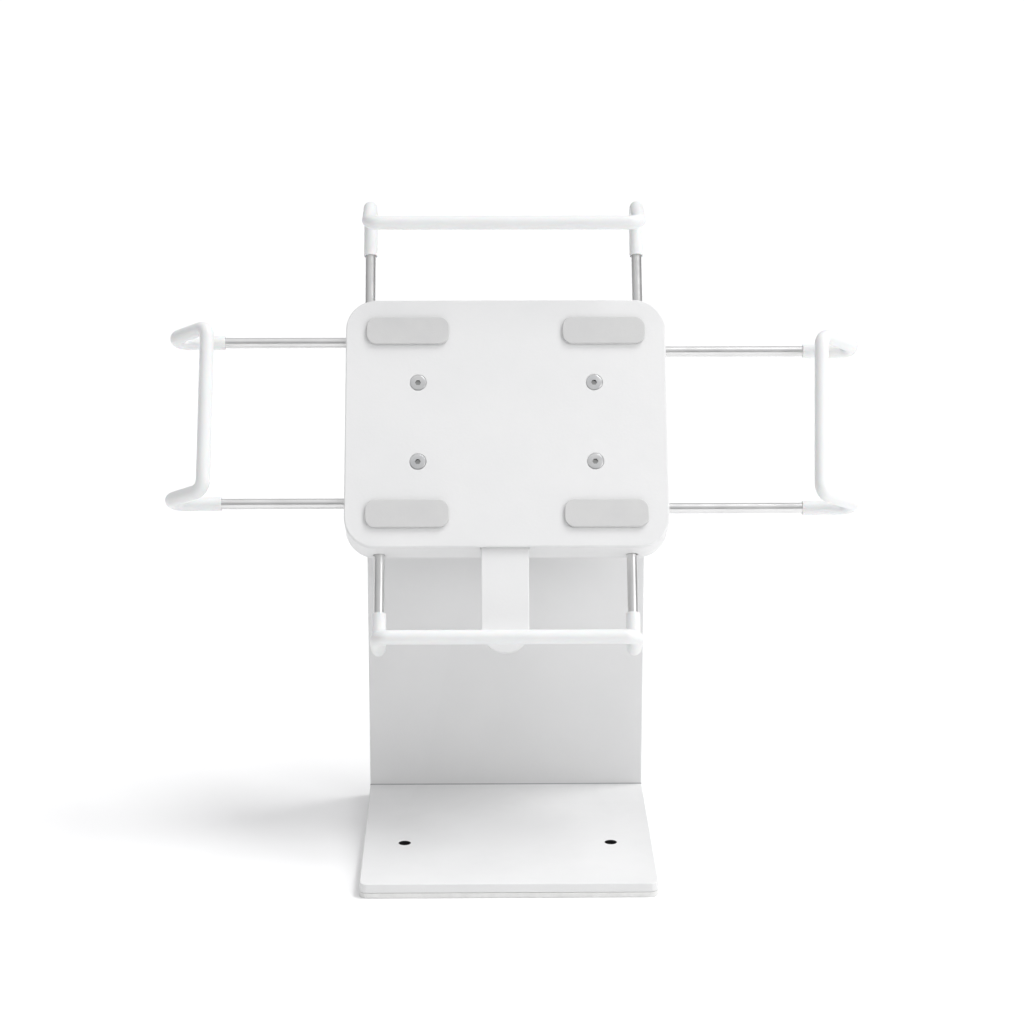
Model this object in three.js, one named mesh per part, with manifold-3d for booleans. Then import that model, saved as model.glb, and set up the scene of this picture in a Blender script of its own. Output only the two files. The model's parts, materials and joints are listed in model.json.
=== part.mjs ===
// Tablet stand: an L-shaped steel stand carries a tilting head, and four wire arms slide out of the
// head to hold a tablet by its edges. Millimetres, +Z up, +X to the user's right, the user at -Y.
// The origin is the centre of the base's underside, where the stand meets the table.

import * as THREE from 'three';
import * as BufferGeometryUtils from 'three/addons/utils/BufferGeometryUtils.js';
import Module from 'manifold-3d';

const wasm = await Module();
wasm.setup();

// ---------------------------------------------------------------- driving dimensions

// stand bracket: one bent sheet, a foot and an upright
const standWidth = 110;
const footDepth = 111.3;
const sheet = 3.5;
const matThickness = 2;
const matGap = 0.05;
const uprightTop = 133.7;
const footCorner = 3;
const uprightCorner = 14;
const insideBend = 0.8;
const outsideBend = 3.2;
const deskHole = { x: 39.35, fromUpright: 65.7, radius: 2.2 };

// tilt hinge
const hingeHeight = 143.7;
const tiltFromVertical = 30.6;
const earRadius = 7.5;
const earThickness = 3;
const pinRadius = 3;
const runningGap = 0.3;
const headEarX = 17;
const yokeEarX = 22;
const yokeBottom = -46;
const yokeTop = -14;
const yokeThickness = 3;

// head, measured from the hinge axis with the head upright: Y is depth, Z is height
const tabletPlane = -29.25;
const headCentreZ = 2.7;
const headWidth = 124;
const headHeight = 100;
const headCorner = 12;
const wall = 1.5;
const pad = { x: 38, z: 37, width: 32, height: 11, corner: 4, thickness: 1 };
const coverFront = tabletPlane + pad.thickness + runningGap;
const coverBack = coverFront + wall;
const insideFront = coverBack + runningGap;
const backPlateBack = -11.7;
const backPlateFront = backPlateBack - wall;
const insideBack = backPlateFront - runningGap;

// tilt bracket on the back of the head
const bracketWidth = 60;
const bracketHeight = 42;
const bracketCorner = 6;
const bracketThickness = 3;
const earRoot = 12;

// wire arms
const rodRadius = 2;
const sleeveRadius = 2.7;
const sleeveBore = 2.35;
const boreRadius = 2.35;
const barY = -39.4;
const levelRodY = -20.6;
const uprightRodY = -16.2;
const leftArm = { side: -1, legs: [-27.9, 37.7], bar: [114.8, 114.8] };
const rightArm = { side: 1, legs: [-30.1, 33.8], bar: [118.9, 121.4] };
const sideLegEnd = 26;
const topBarZ = 80.6;
const topLegs = [-53.3, 52.2];
const bottomBarZ = -85.3;
const bottomLegs = [-48.9, 48.1];
const uprightLegEnd = 1;
const upperGuideZ = 40;
const lowerGuideZ = -46;
const guideThickness = 6;
const uprightGuideHalf = 56.4;
const levelGuideInner = 55.9;
const levelGuideHalf = 38.8;
const sideHookReach = 13;
const topHookReach = 13.6;
const tipBend = 4.5;
const cornerBend = 4.3;
const shelfBend = 5;
const sleeveTail = 14;
const shelfSleeveTail = 10;

// release tongue and its spring, drawn on the centre line and then moved to tongueX
const tongueX = -0.8;
const tongueWidth = 18;
const tongueThickness = 1.4;
const tongueFront = insideFront;
const tongueBack = tongueFront + tongueThickness;
const tongueLow = -88.2;
const tongueTop = 4;
const lugThickness = 2;
const lugHalfWidth = 4;
const springY = -20;
const springRadius = 2.6;
const springWire = 0.45;
const springTurns = 5;
const springTop = 24;
const tongueBump = { x: 6, halfWidth: 2.4, low: -26, high: -22.5, rise: 0.5 };

// clamp plate, spread about the head's centre
const clampFront = -23.95;
const clampBack = clampFront + 1;
const clampHalfX = 53.5;
const clampHalfZ = 39;
const clampCorner = 4;
const clampSlotTop = -13.5;

// screws and posts
const post = { x: 34, z: 16, radius: 3.5, pilot: 1.7, pilotDepth: 9 };
const coverScrewSize = { head: 3, shank: 1.35, length: 9, socket: 1.15 };
const bracketScrewSize = { head: 3.8, headThickness: 2.2, shank: 1.9, length: 4.6, socket: 1.5 };
const bracketScrewAt = { x: 11.5, z: 14 };
const yokeScrewSize = { head: 4.2, headThickness: 2.4, shank: 2, length: yokeThickness + sheet, socket: 1.7 };
const yokeScrewAt = { x: 14, low: yokeBottom + 8, high: yokeTop - 8 };
const screwClearance = 0.4;

// ---------------------------------------------------------------- materials

const powderWhite = new THREE.MeshStandardMaterial({ color: 0xf1f1ef, roughness: 0.45 });
const vinylWhite = new THREE.MeshStandardMaterial({ color: 0xf4f4f2, roughness: 0.55 });
const padRubber = new THREE.MeshStandardMaterial({ color: 0xc9c9c6, roughness: 0.85 });
const matRubber = new THREE.MeshStandardMaterial({ color: 0xe9e9e6, roughness: 0.8 });
const steel = new THREE.MeshStandardMaterial({ color: 0xb4b4b2, roughness: 0.3, metalness: 1 });
const nylon = new THREE.MeshStandardMaterial({ color: 0xdcdcd6, roughness: 0.6 });

// ---------------------------------------------------------------- solids from geometry

function toSolid(geometry) {
  const bare = geometry.clone();
  bare.deleteAttribute('normal');
  bare.deleteAttribute('uv');
  const merged = BufferGeometryUtils.mergeVertices(bare, 1e-4);
  return new wasm.Manifold(new wasm.Mesh({
    numProp: 3,
    vertProperties: new Float32Array(merged.attributes.position.array),
    triVerts: new Uint32Array(merged.index.array),
  }));
}

function toGeometry(solid) {
  const result = solid.getMesh();
  const geometry = new THREE.BufferGeometry();
  geometry.setAttribute('position', new THREE.BufferAttribute(result.vertProperties, 3));
  geometry.setIndex(new THREE.BufferAttribute(result.triVerts, 1));
  const faceted = geometry.toNonIndexed();
  faceted.computeVertexNormals();
  return faceted;
}

function box(x0, x1, y0, y1, z0, z1) {
  const geometry = new THREE.BoxGeometry(x1 - x0, y1 - y0, z1 - z0);
  geometry.translate((x0 + x1) / 2, (y0 + y1) / 2, (z0 + z1) / 2);
  return toSolid(geometry);
}

// a cylinder between two values along one axis, centred on (a, b) in the other two
function rod(axis, radius, from, to, a, b, sides = 16) {
  const geometry = new THREE.CylinderGeometry(radius, radius, to - from, sides);
  geometry.translate(0, (from + to) / 2, 0);
  if (axis === 'x') {
    geometry.rotateZ(-Math.PI / 2);
    geometry.translate(0, a, b);
  } else if (axis === 'y') {
    geometry.translate(a, 0, b);
  } else {
    geometry.rotateX(Math.PI / 2);
    geometry.translate(a, b, 0);
  }
  return toSolid(geometry);
}

function roundedOutline(width, height, radius) {
  const x = width / 2;
  const z = height / 2;
  const shape = new THREE.Shape();
  shape.moveTo(-x + radius, -z);
  shape.lineTo(x - radius, -z);
  shape.absarc(x - radius, -z + radius, radius, -Math.PI / 2, 0);
  shape.lineTo(x, z - radius);
  shape.absarc(x - radius, z - radius, radius, 0, Math.PI / 2);
  shape.lineTo(-x + radius, z);
  shape.absarc(-x + radius, z - radius, radius, Math.PI / 2, Math.PI);
  shape.lineTo(-x, -z + radius);
  shape.absarc(-x + radius, -z + radius, radius, Math.PI, 1.5 * Math.PI);
  return shape;
}

// an outline drawn in X and Z, given thickness from y0 to y1
function plateXZ(shape, y0, y1, curveSegments = 5) {
  const geometry = new THREE.ExtrudeGeometry(shape, { depth: y1 - y0, bevelEnabled: false, curveSegments });
  geometry.rotateX(Math.PI / 2);
  geometry.translate(0, y1, 0);
  return toSolid(geometry);
}

// an outline drawn in Y and Z, given thickness from x0 to x1
function plateYZ(shape, x0, x1, curveSegments = 8) {
  const geometry = new THREE.ExtrudeGeometry(shape, { depth: x1 - x0, bevelEnabled: false, curveSegments });
  geometry.rotateY(Math.PI / 2);
  geometry.rotateX(Math.PI / 2);
  geometry.translate(x0, 0, 0);
  return toSolid(geometry);
}

function lathe(points, sides) {
  return toSolid(new THREE.LatheGeometry(points.map(([r, y]) => new THREE.Vector2(r, y)), sides));
}

const root = new THREE.Group();
const head = new THREE.Group();
head.position.set(0, footDepth / 2 - sheet / 2, hingeHeight);
head.rotation.x = -THREE.MathUtils.degToRad(tiltFromVertical);
root.add(head);

const hingeFrame = new THREE.Group();
hingeFrame.position.copy(head.position);
root.add(hingeFrame);

function addPart(group, name, solid, material) {
  const mesh = new THREE.Mesh(toGeometry(solid), material);
  mesh.name = name;
  group.add(mesh);
}

// ---------------------------------------------------------------- stand bracket and mat

const uprightFaceY = footDepth / 2 - sheet;
const footTop = matThickness + sheet;

function deskHoles(radius, z0, z1) {
  const y = uprightFaceY - deskHole.fromUpright;
  return rod('z', radius, z0, z1, -deskHole.x, y).add(rod('z', radius, z0, z1, deskHole.x, y));
}

// the foot's outline from above, with its two front corners rounded
function footOutline() {
  const x = standWidth / 2;
  const front = -footDepth / 2;
  const shape = new THREE.Shape();
  shape.moveTo(x, footDepth / 2);
  shape.lineTo(-x, footDepth / 2);
  shape.lineTo(-x, front + footCorner);
  shape.absarc(-x + footCorner, front + footCorner, footCorner, Math.PI, 1.5 * Math.PI);
  shape.lineTo(x - footCorner, front);
  shape.absarc(x - footCorner, front + footCorner, footCorner, 1.5 * Math.PI, 2 * Math.PI);
  return shape;
}

function footPrism(z0, z1) {
  const geometry = new THREE.ExtrudeGeometry(footOutline(), {
    depth: z1 - z0, bevelEnabled: false, curveSegments: 6,
  });
  geometry.translate(0, 0, z0);
  return toSolid(geometry);
}

// the bent sheet seen from the side: foot, tight inside bend, upright, round outside bend
function bracketProfile() {
  const back = footDepth / 2;
  const shape = new THREE.Shape();
  shape.moveTo(-back, matThickness);
  shape.lineTo(back - outsideBend, matThickness);
  shape.absarc(back - outsideBend, matThickness + outsideBend, outsideBend, -Math.PI / 2, 0);
  shape.lineTo(back, uprightTop);
  shape.lineTo(uprightFaceY, uprightTop);
  shape.lineTo(uprightFaceY, footTop + insideBend);
  shape.absarc(uprightFaceY - insideBend, footTop + insideBend, insideBend, 0, -Math.PI / 2, true);
  shape.lineTo(-back, footTop);
  return shape;
}

function yokeScrewPlaces() {
  const { x, low, high } = yokeScrewAt;
  return [{ x: -x, z: high }, { x, z: high }, { x: -x, z: low }, { x, z: low }];
}

function standBracket() {
  const half = standWidth / 2;
  let solid = plateYZ(bracketProfile(), -half, half, 6).intersect(footPrism(0, uprightTop + 1));
  const frontView = new THREE.Shape();
  frontView.moveTo(-half, 0);
  frontView.lineTo(half, 0);
  frontView.lineTo(half, uprightTop - uprightCorner);
  frontView.absarc(half - uprightCorner, uprightTop - uprightCorner, uprightCorner, 0, Math.PI / 2);
  frontView.lineTo(-half + uprightCorner, uprightTop);
  frontView.absarc(-half + uprightCorner, uprightTop - uprightCorner, uprightCorner, Math.PI / 2, Math.PI);
  solid = solid.intersect(plateXZ(frontView, -footDepth, footDepth));
  solid = solid.subtract(deskHoles(deskHole.radius, 0, footTop + 1));
  for (const { x, z } of yokeScrewPlaces()) {
    const radius = yokeScrewSize.shank + screwClearance;
    solid = solid.subtract(rod('y', radius, 0, footDepth, x, hingeHeight + z, 10));
  }
  return solid;
}

function baseMat() {
  const holes = deskHoles(deskHole.radius + screwClearance, -1, matThickness);
  return footPrism(0, matThickness - matGap).subtract(holes);
}

addPart(root, 'stand_bracket', standBracket(), powderWhite);
addPart(root, 'base_mat', baseMat(), matRubber);

// ---------------------------------------------------------------- tilt hinge, in the hinge's frame

// behind the upright, two ears rise over its top edge and carry the pin
function hingeYoke() {
  const near = sheet / 2 + runningGap;
  const far = near + yokeThickness;
  const outer = yokeEarX + earThickness;
  const side = new THREE.Shape();
  side.moveTo(near, yokeBottom);
  side.lineTo(far, yokeBottom);
  side.lineTo(earRadius, yokeTop);
  side.lineTo(earRadius, 0);
  side.absarc(0, 0, earRadius, 0, 2 * Math.PI - Math.acos(near / earRadius));
  let solid = box(-outer, outer, near, far, yokeBottom, yokeTop);
  for (const x0 of [-outer, yokeEarX]) {
    solid = solid.add(plateYZ(side, x0, x0 + earThickness, 12));
  }
  solid = solid.subtract(rod('x', pinRadius + runningGap, -outer - 1, outer + 1, 0, 0));
  for (const { x, z } of yokeScrewPlaces()) {
    solid = solid.subtract(rod('y', yokeScrewSize.shank + 1.5 * screwClearance, 0, far + 1, x, z, 10));
  }
  return solid;
}

// a round-headed socket screw along Y: its shank points to -Y and its head sits at the back of Y = 0
function socketScrew(size) {
  const top = size.headThickness;
  const crown = top * 0.55;
  const solid = lathe([
    [0, -size.length], [size.shank, -size.length], [size.shank, 0], [size.head, 0],
    [size.head, top - crown], [size.head * 0.82, top - crown * 0.3], [size.head * 0.55, top], [0, top],
  ], 12);
  const socket = new THREE.CylinderGeometry(size.socket, size.socket, top, 6);
  socket.translate(0, top, 0);
  return solid.subtract(toSolid(socket));
}

const pinHead = { radius: 5.5, thickness: 3.3, chamfer: 0.8 };
const pinChamfer = 0.6;
const nut = { radius: 5.8, thickness: 5 };
const washerRadius = 7;

// the pin's head is outside the left ear, and its threaded end stands out of the nut on the right
function tiltPin() {
  const ears = yokeEarX + earThickness + runningGap;
  const headEnd = -ears - pinHead.thickness;
  const tip = ears + nut.thickness + 1.2;
  const solid = lathe([
    [0, headEnd], [pinHead.radius - pinHead.chamfer, headEnd], [pinHead.radius, headEnd + pinHead.chamfer],
    [pinHead.radius, -ears], [pinRadius, -ears], [pinRadius, tip - pinChamfer],
    [pinRadius - pinChamfer, tip], [0, tip],
  ], 20);
  return solid.rotate([0, 0, -90]);
}

function tiltNut() {
  const inner = yokeEarX + earThickness + runningGap;
  const outer = inner + nut.thickness;
  return rod('x', nut.radius, inner, outer, 0, 0, 6)
    .subtract(rod('x', pinRadius + runningGap, inner - 1, outer + 1, 0, 0));
}

function frictionWasher(side) {
  const inner = headEarX + earThickness + runningGap;
  const outer = yokeEarX - runningGap;
  const from = side < 0 ? -outer : inner;
  const to = side < 0 ? -inner : outer;
  return rod('x', washerRadius, from, to, 0, 0, 24)
    .subtract(rod('x', pinRadius + runningGap, from - 1, to + 1, 0, 0));
}

addPart(hingeFrame, 'hinge_yoke', hingeYoke(), powderWhite);
addPart(hingeFrame, 'tilt_pin', tiltPin(), steel);
addPart(hingeFrame, 'tilt_nut', tiltNut(), steel);
addPart(hingeFrame, 'friction_washer_left', frictionWasher(-1), nylon);
addPart(hingeFrame, 'friction_washer_right', frictionWasher(1), nylon);

const yokeScrewSeat = sheet / 2 + 2 * runningGap + yokeThickness;
yokeScrewPlaces().forEach(({ x, z }, index) => {
  const screw = socketScrew(yokeScrewSize).translate([x, yokeScrewSeat, z]);
  addPart(hingeFrame, `yoke_screw_${index + 1}`, screw, steel);
});

// ---------------------------------------------------------------- head: bracket, shell and cover

const bracketFront = backPlateBack + runningGap;
const bracketBack = bracketFront + bracketThickness;

function bracketScrewPlaces() {
  const { x, z } = bracketScrewAt;
  return [{ x: -x, z: -z }, { x, z: -z }, { x: -x, z }, { x, z }];
}

function tiltBracket() {
  const outline = roundedOutline(bracketWidth, bracketHeight, bracketCorner);
  let solid = plateXZ(outline, bracketFront, bracketBack);
  const ear = new THREE.Shape();
  ear.moveTo(bracketBack - 1, -earRoot);
  ear.lineTo(0, -earRadius);
  ear.absarc(0, 0, earRadius, -Math.PI / 2, Math.PI / 2);
  ear.lineTo(bracketBack - 1, earRoot);
  for (const x0 of [-headEarX - earThickness, headEarX]) {
    solid = solid.add(plateYZ(ear, x0, x0 + earThickness, 8));
  }
  solid = solid.subtract(rod('x', pinRadius + runningGap, -bracketWidth, bracketWidth, 0, 0));
  for (const { x, z } of bracketScrewPlaces()) {
    const radius = bracketScrewSize.shank + screwClearance;
    solid = solid.subtract(rod('y', radius, bracketFront - 1, bracketBack + 1, x, z, 10));
  }
  return solid;
}

function eachPost(action) {
  for (const z of [-post.z, post.z]) {
    for (const x of [-post.x, post.x]) {
      action(x, headCentreZ + z);
    }
  }
}

function atTongue(solid) {
  return solid.translate([tongueX, 0, 0]);
}

function centredPlate(width, height, radius, y0, y1) {
  return plateXZ(roundedOutline(width, height, radius), y0, y1).translate([0, 0, headCentreZ]);
}

// the wall round the head, with the holes that the rods and the tongue slide through
function headRim() {
  const top = headCentreZ + headHeight / 2;
  const bottom = headCentreZ - headHeight / 2;
  const reach = 2 * wall;
  const inside = centredPlate(headWidth - 2 * wall, headHeight - 2 * wall, headCorner - wall,
    insideFront - 1, insideBack + 1);
  let solid = centredPlate(headWidth, headHeight, headCorner, insideFront, insideBack).subtract(inside);
  for (const { side, legs } of [leftArm, rightArm]) {
    const wallX = side * headWidth / 2;
    for (const z of legs) {
      solid = solid.subtract(rod('x', boreRadius, wallX - reach, wallX + reach, levelRodY, z, 10));
    }
  }
  for (const x of topLegs) {
    solid = solid.subtract(rod('z', boreRadius, top - reach, top + 1, x, uprightRodY, 10));
  }
  for (const x of bottomLegs) {
    solid = solid.subtract(rod('z', boreRadius, bottom - 1, bottom + reach, x, uprightRodY, 10));
  }
  const half = tongueWidth / 2 + runningGap;
  const slot = box(-half, half, insideFront - 1, tongueBack + runningGap, bottom - 1, bottom + reach);
  return solid.subtract(atTongue(slot));
}

function backPlate() {
  let solid = centredPlate(headWidth, headHeight, headCorner, backPlateFront, backPlateBack);
  for (const { x, z } of bracketScrewPlaces()) {
    const radius = bracketScrewSize.shank + 0.75 * screwClearance;
    solid = solid.subtract(rod('y', radius, backPlateFront - 1, backPlateBack + 1, x, z, 10));
  }
  return solid;
}

// stands on the back plate and takes a cover screw
function coverPost() {
  return rod('y', post.radius, insideFront, insideBack, 0, 0, 12)
    .subtract(rod('y', post.pilot, insideFront - 1, insideFront + post.pilotDepth, 0, 0, 8));
}

// the spring pushes the tongue down from this small block on the back plate
function springStop() {
  const seat = springTop + runningGap;
  return box(-lugHalfWidth, lugHalfWidth, clampBack, insideBack, seat, seat + lugThickness);
}

const sinkEdge = 0.2;

function frontCover() {
  let solid = centredPlate(headWidth, headHeight, headCorner, coverFront, coverBack);
  const mouth = coverScrewSize.head + runningGap;
  const sink = lathe([
    [0, -sinkEdge], [mouth, -sinkEdge], [mouth, sinkEdge], [post.pilot, wall],
    [post.pilot, wall + 1], [0, wall + 1],
  ], 14);
  eachPost((x, z) => {
    solid = solid.subtract(sink.translate([x, coverFront, z]));
  });
  return solid;
}

// a countersunk socket screw along Y, just under flush with the cover at Y = 0
function coverScrew() {
  const { head: headRadius, shank, length, socket } = coverScrewSize;
  const solid = lathe([
    [0, 0.05], [headRadius - 0.1, 0.05], [headRadius, sinkEdge], [shank, wall], [shank, length], [0, length],
  ], 12);
  return solid.subtract(toSolid(new THREE.CylinderGeometry(socket, socket, wall + 0.1, 6)));
}

addPart(head, 'tilt_bracket', tiltBracket(), powderWhite);
addPart(head, 'head_rim', headRim(), powderWhite);
addPart(head, 'back_plate', backPlate(), powderWhite);
addPart(head, 'front_cover', frontCover(), powderWhite);
addPart(head, 'spring_stop', atTongue(springStop()), powderWhite);

bracketScrewPlaces().forEach(({ x, z }, index) => {
  const screw = socketScrew(bracketScrewSize).translate([x, bracketBack + runningGap, z]);
  addPart(head, `bracket_screw_${index + 1}`, screw, steel);
});

let postCount = 0;
eachPost((x, z) => {
  postCount += 1;
  addPart(head, `cover_post_${postCount}`, coverPost().translate([x, 0, z]), steel);
  addPart(head, `cover_screw_${postCount}`, coverScrew().translate([x, coverFront, z]), steel);
});

for (const [level, sz] of [['lower', -1], ['upper', 1]]) {
  for (const [hand, sx] of [['left', -1], ['right', 1]]) {
    const outline = roundedOutline(pad.width, pad.height, pad.corner);
    const solid = plateXZ(outline, tabletPlane, tabletPlane + pad.thickness);
    const place = [sx * pad.x, 0, headCentreZ + sz * pad.z];
    addPart(head, `${level}_${hand}_pad`, solid.translate(place), padRubber);
  }
}

// ---------------------------------------------------------------- inside the head

// a bar across the top or bottom with grooves for the upright rods, closed by the back plate
function uprightGuide(fromCentre, legs) {
  const z0 = headCentreZ + fromCentre;
  const z1 = z0 + guideThickness;
  const front = insideFront + runningGap;
  let solid = box(-uprightGuideHalf, uprightGuideHalf, front, insideBack, z0, z1);
  for (const x of legs) {
    solid = solid.subtract(rod('z', boreRadius, z0 - 1, z1 + 1, x, uprightRodY, 16));
    const groove = box(x - boreRadius, x + boreRadius, uprightRodY, insideBack + 1, z0 - 1, z1 + 1);
    solid = solid.subtract(groove);
  }
  return solid;
}

// the lower bar has a channel in its front for the tongue
function lowerGuide() {
  const z0 = headCentreZ + lowerGuideZ;
  const slot = tongueWidth / 2 + 1;
  const channel = box(-slot, slot, insideFront, tongueBack + runningGap, z0 - 1, z0 + guideThickness + 1);
  return uprightGuide(lowerGuideZ, bottomLegs).subtract(atTongue(channel));
}

// a bored bar at each side for the level rods
function levelGuide({ side, legs }) {
  const outer = headWidth / 2 - wall - runningGap;
  const [x0, x1] = side < 0 ? [-outer, -levelGuideInner] : [levelGuideInner, outer];
  const low = headCentreZ - levelGuideHalf;
  const high = headCentreZ + levelGuideHalf;
  let solid = box(x0, x1, insideFront + runningGap, insideBack, low, high);
  for (const z of legs) {
    solid = solid.subtract(rod('x', boreRadius, x0 - 1, x1 + 1, levelRodY, z, 16));
  }
  return solid;
}

// a spring-steel plate in front of the four places where the rods cross, with two slots above the
// tongue's bumps and one for its bent top
function clampPlate() {
  const [front, back] = [clampFront - 1, clampBack + 1];
  let solid = centredPlate(2 * clampHalfX, 2 * clampHalfZ, clampCorner, clampFront, clampBack);
  eachPost((x, z) => {
    solid = solid.subtract(rod('y', post.radius + 2 * runningGap, front, back, x, z, 12));
  });
  for (const x of [-tongueBump.x, tongueBump.x]) {
    const half = tongueBump.halfWidth + runningGap;
    const slot = box(x - half, x + half, front, back, tongueBump.high + runningGap, clampSlotTop);
    solid = solid.subtract(atTongue(slot));
  }
  const half = lugHalfWidth + 2 * runningGap;
  const low = tongueTop - lugThickness - 2 * runningGap;
  const high = springTop + lugThickness + 3 * runningGap;
  return solid.subtract(atTongue(box(-half, half, front, back, low, high)));
}

// the strip that reaches below the head, with a round end for a fingertip; two bumps on it press the
// clamp plate, and its top is bent back to meet the spring
function releaseTongue() {
  const half = tongueWidth / 2;
  const rootY = tongueBack - tongueBump.rise;
  const shape = new THREE.Shape();
  shape.moveTo(half, tongueLow + half);
  shape.lineTo(half, tongueTop);
  shape.lineTo(-half, tongueTop);
  shape.lineTo(-half, tongueLow + half);
  shape.absarc(0, tongueLow + half, half, Math.PI, 2 * Math.PI);
  let solid = plateXZ(shape, tongueFront, tongueBack, 14);
  solid = solid.add(box(-lugHalfWidth, lugHalfWidth, rootY, springY + springRadius + 1,
    tongueTop - lugThickness, tongueTop));
  for (const x of [-tongueBump.x, tongueBump.x]) {
    solid = solid.add(box(x - tongueBump.halfWidth, x + tongueBump.halfWidth, rootY,
      tongueBack + tongueBump.rise, tongueBump.low, tongueBump.high));
  }
  return solid;
}

class Helix extends THREE.Curve {
  constructor(radius, y, z0, z1, turns) {
    super();
    Object.assign(this, { radius, y, z0, z1, turns });
  }

  getPoint(t, target = new THREE.Vector3()) {
    const angle = 2 * Math.PI * this.turns * t;
    const z = this.z0 + (this.z1 - this.z0) * t;
    return target.set(this.radius * Math.cos(angle), this.y + this.radius * Math.sin(angle), z);
  }
}

function ringOf(radius, sides) {
  return Array.from({ length: sides }, (_, i) => {
    const angle = 2 * Math.PI * i / sides;
    return new THREE.Vector2(radius * Math.cos(angle), radius * Math.sin(angle));
  });
}

function releaseSpring() {
  const low = tongueTop + runningGap + springWire;
  const high = springTop - springWire;
  const path = new Helix(springRadius, springY, low, high, springTurns);
  return toSolid(new THREE.ExtrudeGeometry(new THREE.Shape(ringOf(springWire, 5)), {
    steps: springTurns * 9, extrudePath: path, bevelEnabled: false,
  }));
}

addPart(head, 'upper_rod_guide', uprightGuide(upperGuideZ, topLegs), nylon);
addPart(head, 'lower_rod_guide', lowerGuide(), nylon);
addPart(head, 'left_rod_guide', levelGuide(leftArm), nylon);
addPart(head, 'right_rod_guide', levelGuide(rightArm), nylon);
addPart(head, 'clamp_plate', clampPlate(), steel);
addPart(head, 'release_spring', atTongue(releaseSpring()), steel);
addPart(head, 'release_tongue', atTongue(releaseTongue()), powderWhite);

// ---------------------------------------------------------------- wire arms

// Centre line of a bent rod. It has stations only at its ends and round its bends, and the
// section is set square to the line at each one.
class RodLine extends THREE.Curve {
  constructor(stations) {
    super();
    this.stations = stations;
  }

  // a sweep asks for even lengths along the line, and gets one station for each step instead
  getUtoTmapping(u) {
    return u;
  }

  getPoint(t, target = new THREE.Vector3()) {
    return target.copy(this.stations[Math.round(t * (this.stations.length - 1))]);
  }

  getTangent(t, target = new THREE.Vector3()) {
    const last = this.stations.length - 1;
    const i = Math.round(t * last);
    target.set(0, 0, 0);
    if (i > 0) {
      target.add(this.stations[i].clone().sub(this.stations[i - 1]).normalize());
    }
    if (i < last) {
      target.add(this.stations[i + 1].clone().sub(this.stations[i]).normalize());
    }
    return target.normalize();
  }
}

// stations along a line of corners, each inner corner rounded to its own bend radius
function bentStations(corners, bends, stepsPerBend = 5) {
  const stations = [corners[0].clone()];
  for (let i = 1; i < corners.length - 1; i += 1) {
    const into = corners[i].clone().sub(corners[i - 1]).normalize();
    const out = corners[i + 1].clone().sub(corners[i]).normalize();
    const turn = into.angleTo(out);
    const axis = into.clone().cross(out).normalize();
    const radius = bends[i - 1];
    const start = corners[i].clone().addScaledVector(into, -radius * Math.tan(turn / 2));
    const centre = start.clone().addScaledVector(axis.clone().cross(into), radius);
    for (let step = 0; step <= stepsPerBend; step += 1) {
      const spoke = start.clone().sub(centre).applyAxisAngle(axis, turn * step / stepsPerBend);
      stations.push(centre.clone().add(spoke));
    }
  }
  stations.push(corners.at(-1).clone());
  return stations;
}

function sweep(stations, section) {
  return toSolid(new THREE.ExtrudeGeometry(section, {
    steps: stations.length - 1, extrudePath: new RodLine(stations), bevelEnabled: false,
  }));
}

// how far past the bar the hook's slanted leg meets the line of the straight leg, for a bend that
// reaches out as far as reach
function hookApex(depth, reach) {
  const along = reach - tipBend;
  const down = depth - tipBend;
  const slant = Math.atan2(down, along) - Math.asin(tipBend / Math.hypot(along, down));
  return depth / Math.tan(slant);
}

// an arm's corners, from the end of one leg round the bar to the end of the other; place(out, y,
// across) puts a point in the head, and bar says how far out each end of the bar is
function armCorners(place, bar, legs, rodY, legEnd, apex) {
  const [a, b] = legs;
  return [
    place(legEnd, rodY, a), place(bar[0] + apex, rodY, a), place(bar[0], barY, a),
    place(bar[1], barY, b), place(bar[1] + apex, rodY, b), place(legEnd, rodY, b),
  ];
}

// the bare rod runs into the head; the soft sleeve covers the hooks and the bar
function addArm(name, corners, sleeveEnd, tip) {
  const bends = [tip, cornerBend, cornerBend, tip];
  const sleeved = corners.map((corner) => corner.clone());
  for (const [end, next] of [[0, 1], [corners.length - 1, corners.length - 2]]) {
    const inward = corners[end].clone().sub(corners[next]).normalize();
    sleeved[end] = corners[next].clone().addScaledVector(inward, sleeveEnd);
  }
  const rodSection = new THREE.Shape(ringOf(rodRadius, 8));
  const sleeveSection = new THREE.Shape(ringOf(sleeveRadius, 10));
  sleeveSection.holes.push(new THREE.Path(ringOf(sleeveBore, 8)));
  addPart(head, `${name}_arm_rod`, sweep(bentStations(corners, bends), rodSection), steel);
  addPart(head, `${name}_arm_sleeve`, sweep(bentStations(sleeved, bends), sleeveSection), vinylWhite);
}

function addSideArm(name, { side, legs, bar }) {
  const place = (out, y, across) => new THREE.Vector3(side * out, y, across);
  const apex = hookApex(levelRodY - barY, sideHookReach);
  const corners = armCorners(place, bar, legs, levelRodY, sideLegEnd, apex);
  addArm(name, corners, apex - sideHookReach + tipBend + sleeveTail, tipBend);
}

function addTopArm() {
  const place = (out, y, across) => new THREE.Vector3(across, y, out);
  const apex = hookApex(uprightRodY - barY, topHookReach);
  const bar = [topBarZ, topBarZ];
  const corners = armCorners(place, bar, topLegs, uprightRodY, uprightLegEnd, apex);
  addArm('top', corners, apex - topHookReach + tipBend + sleeveTail, tipBend);
}

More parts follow.
